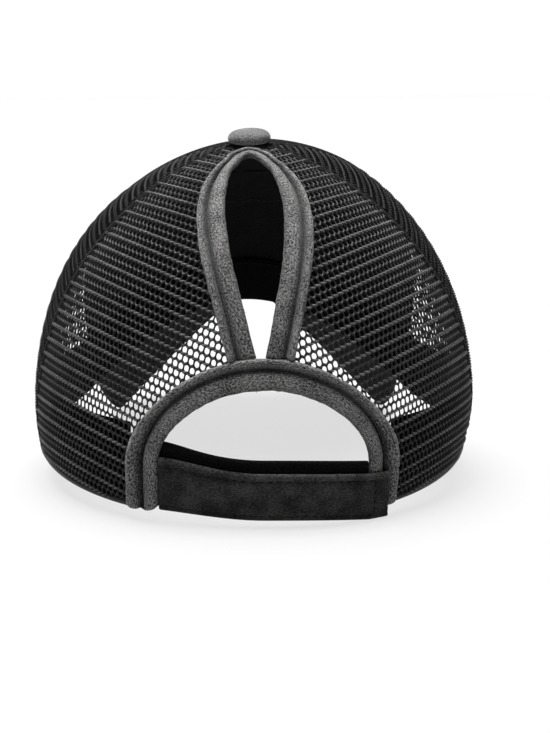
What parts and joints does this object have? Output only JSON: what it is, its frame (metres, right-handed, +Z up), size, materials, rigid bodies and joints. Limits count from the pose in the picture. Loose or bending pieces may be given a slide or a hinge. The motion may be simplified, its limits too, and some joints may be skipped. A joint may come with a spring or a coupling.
{
  "type": "ponytail baseball cap",
  "caption": "Soft baseball cap with a curved brim, net rear panels and a tall slot up the back of the crown that lets a ponytail out above the strap.",
  "frame": {"origin": "on the floor the cap rests on, at the middle of its whole length and width", "axes": "+Z is up, +Y is the way the brim points, +X is the wearer's right; the rear of the cap faces -Y"},
  "size_m": [0.1682, 0.2546, 0.1325],
  "materials": {
    "front_cloth": "matte",
    "net": "matte",
    "heather_binding": "matte",
    "strap_cloth": "matte",
    "inner_cloth": "matte",
    "button_cloth": "matte"
  },
  "bodies": {
    "root": {"front_panel": "front_cloth", "side_panel_left": "net", "side_panel_right": "net", "rear_panel_left": "net", "rear_panel_right": "net", "slot_binding": "heather_binding", "arch_binding": "heather_binding", "strap_outer": "strap_cloth", "strap_inner": "inner_cloth", "sweatband": "inner_cloth", "brim": "front_cloth", "top_button": "button_cloth"}
  },
  "joints": []
}
